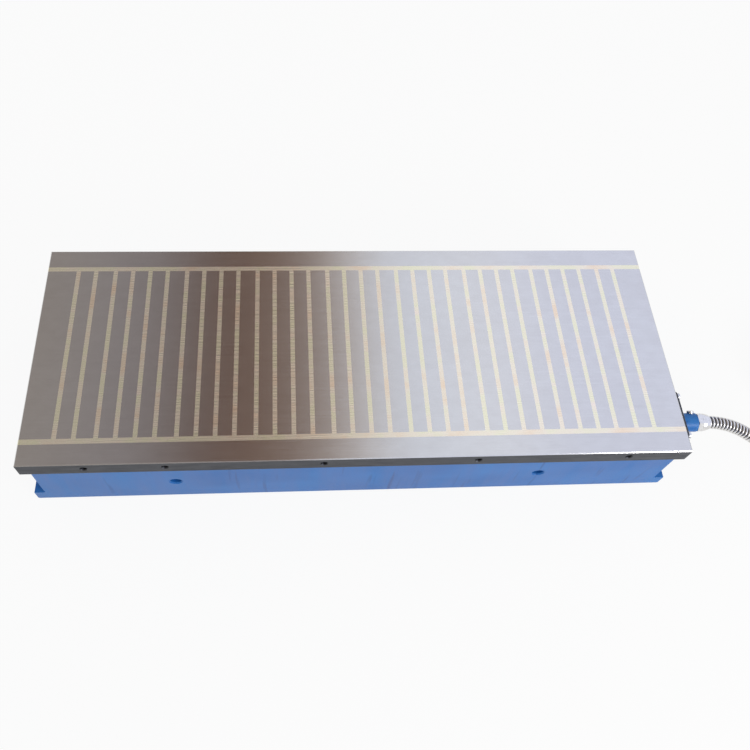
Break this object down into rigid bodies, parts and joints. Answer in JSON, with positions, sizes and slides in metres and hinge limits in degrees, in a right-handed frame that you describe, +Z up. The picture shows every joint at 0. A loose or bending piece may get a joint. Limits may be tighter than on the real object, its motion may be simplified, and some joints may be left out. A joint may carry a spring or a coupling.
{
  "type": "electromagnetic chuck",
  "caption": "Rectangular electromagnetic chuck with a fine-pole ground work face, clamping feet at both ends, a terminal box and an armoured supply conduit.",
  "frame": {"origin": "centre of the flat underside of the base, on the machine table", "axes": "+Z up, out of the work face; +X along the length, towards the terminal box and the conduit; +Y towards the rear side"},
  "size_m": [1.216, 0.3343, 0.11],
  "materials": {
    "ground_steel": "ground",
    "brass_strip": "ground",
    "blue_paint": "satin",
    "core_iron": "matt",
    "coil_tape": "matt",
    "resin": "gloss",
    "black_rubber": "matt",
    "black_oxide_steel": "satin",
    "wire_sleeve": "satin",
    "dark_paint": "satin",
    "bright_steel": "bright",
    "block_plastic": "matt",
    "nickel": "bright",
    "conduit_steel": "bright",
    "tie_plastic": "satin",
    "pin_brass": "bright"
  },
  "bodies": {
    "chuck": {"front_rail": "ground_steel", "rear_rail": "ground_steel", "left_end_pole": "ground_steel", "right_end_pole": "ground_steel", "north_pole_bars": "ground_steel", "narrow_south_bars": "ground_steel", "wide_south_bars": "ground_steel", "cross_strips": "brass_strip", "front_long_strip": "brass_strip", "rear_long_strip": "brass_strip", "body_frame": "blue_paint", "bed_plate": "blue_paint", "pole_cores": "core_iron", "coil_01": "coil_tape", "coil_02": "coil_tape", "coil_03": "coil_tape", "coil_04": "coil_tape", "coil_05": "coil_tape", "coil_06": "coil_tape", "coil_07": "coil_tape", "coil_08": "coil_tape", "coil_09": "coil_tape", "coil_10": "coil_tape", "coil_11": "coil_tape", "coil_12": "coil_tape", "coil_13": "coil_tape", "coil_14": "coil_tape", "coil_15": "coil_tape", "coil_16": "coil_tape", "potting": "resin", "plate_seal": "black_rubber", "plate_bolts": "black_oxide_steel", "series_wire": "wire_sleeve", "lead_wires": "wire_sleeve", "terminal_box": "dark_paint", "box_gasket": "black_rubber", "box_cover": "dark_paint", "cover_screws": "bright_steel", "box_screws": "bright_steel", "terminal_block": "block_plastic", "terminal_screws": "bright_steel", "conduit_nipple": "blue_paint", "nipple_locknut": "bright_steel", "nipple_clamp_screw": "bright_steel", "gland_nut": "nickel", "ferrule": "nickel", "conduit_run": "conduit_steel", "conduit_coil": "conduit_steel", "conduit_tail": "conduit_steel", "coil_ties": "tie_plastic", "end_ferrule": "nickel", "plug_shell": "nickel", "ring_clip": "bright_steel", "plug_insert": "block_plastic", "plug_pins": "pin_brass"},
    "coupling_ring": {"coupling_ring": "nickel"}
  },
  "joints": [
    {"name": "coupling_turn", "type": "hinge", "parent": "chuck", "child": "coupling_ring", "pos_m": [0.802, 0.17, 0.0145], "axis": [0, 1, 0], "continuous": true}
  ]
}
